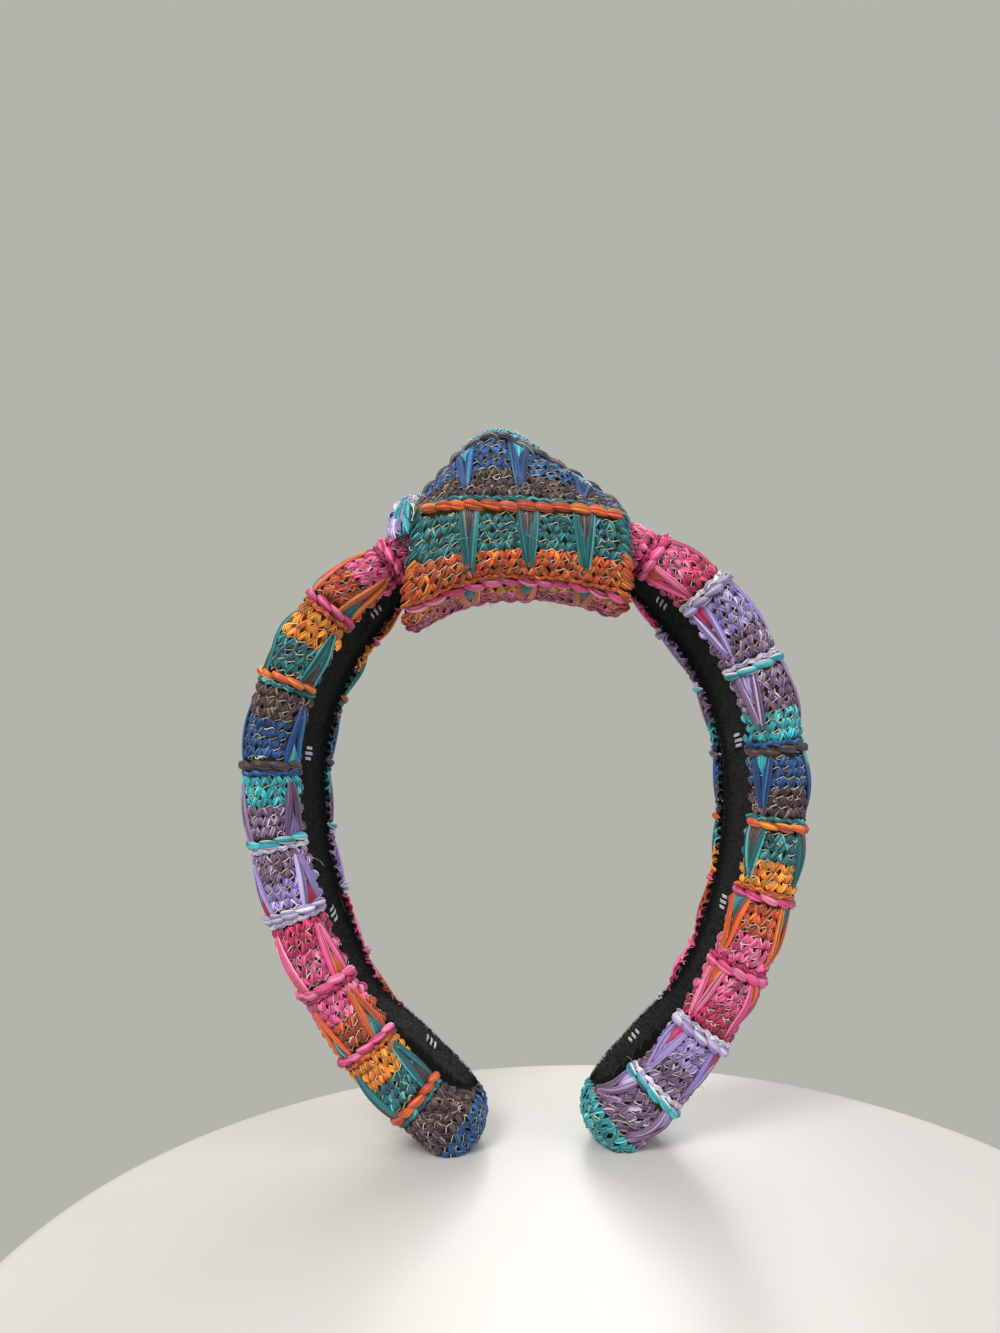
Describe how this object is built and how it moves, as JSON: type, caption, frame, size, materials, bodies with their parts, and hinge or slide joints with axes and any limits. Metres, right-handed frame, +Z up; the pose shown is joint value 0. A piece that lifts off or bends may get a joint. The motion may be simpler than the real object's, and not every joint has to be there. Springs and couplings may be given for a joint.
{
  "type": "knotted headband",
  "caption": "Padded knotted headband in multicolour crocheted raffia with a velvet lining, an open springy hoop worn over the crown of the head.",
  "frame": {"origin": "centre of the surface that the two tips stand on, which is the bottom centre of the headband's box", "axes": "+Z up from the tips to the knot, +X across the head from ear to ear, +Y from the wider edge of the band to the narrower edge"},
  "size_m": [0.155, 0.0476, 0.1982],
  "materials": {
    "raffia_crochet": "crocheted raffia in hand-dyed bands of pink, orange, teal, blue, brown, turquoise, grey-purple and lavender, with a satin sheen",
    "raffia_ridge": "twisted raffia cord, satin",
    "velvet": "black velvet",
    "backing_cloth": "plain woven cotton",
    "foam": "open foam and wadding",
    "core_plastic": "flexible moulded strip",
    "dark_thread": "sewing thread",
    "white_thread": "embroidery thread"
  },
  "bodies": {
    "crown": {"crown_core": "core_plastic", "crown_foam": "foam", "crown_cover": "raffia_crochet", "crown_lining": "velvet", "knot_wrap": "raffia_crochet", "knot_backing": "backing_cloth", "knot_filler": "foam", "knot_ridges": "raffia_ridge", "knot_side_fold": "raffia_crochet", "knot_closing_stitches": "dark_thread"},
    "left_arm": {"left_core": "core_plastic", "left_foam": "foam", "left_backing": "backing_cloth", "left_cover": "raffia_crochet", "left_lining": "velvet", "left_tip_fold": "raffia_crochet", "left_tip_seam": "raffia_crochet", "left_ridges": "raffia_ridge", "left_seam_stitches": "dark_thread", "left_bar_tacks": "white_thread"},
    "right_arm": {"right_core": "core_plastic", "right_foam": "foam", "right_backing": "backing_cloth", "right_cover": "raffia_crochet", "right_lining": "velvet", "right_tip_fold": "raffia_crochet", "right_tip_seam": "raffia_crochet", "right_ridges": "raffia_ridge", "right_seam_stitches": "dark_thread", "right_bar_tacks": "white_thread"}
  },
  "joints": [
    {"name": "left_flex", "type": "hinge", "parent": "crown", "child": "left_arm", "pos_m": [-0.02374, 0, 0.1623], "axis": [0, 1, 0], "range_deg": [-3, 10], "stiffness_Nm_per_rad": 1},
    {"name": "right_flex", "type": "hinge", "parent": "crown", "child": "right_arm", "pos_m": [0.02374, 0, 0.1623], "axis": [0, -1, 0], "range_deg": [-3, 10], "stiffness_Nm_per_rad": 1}
  ]
}
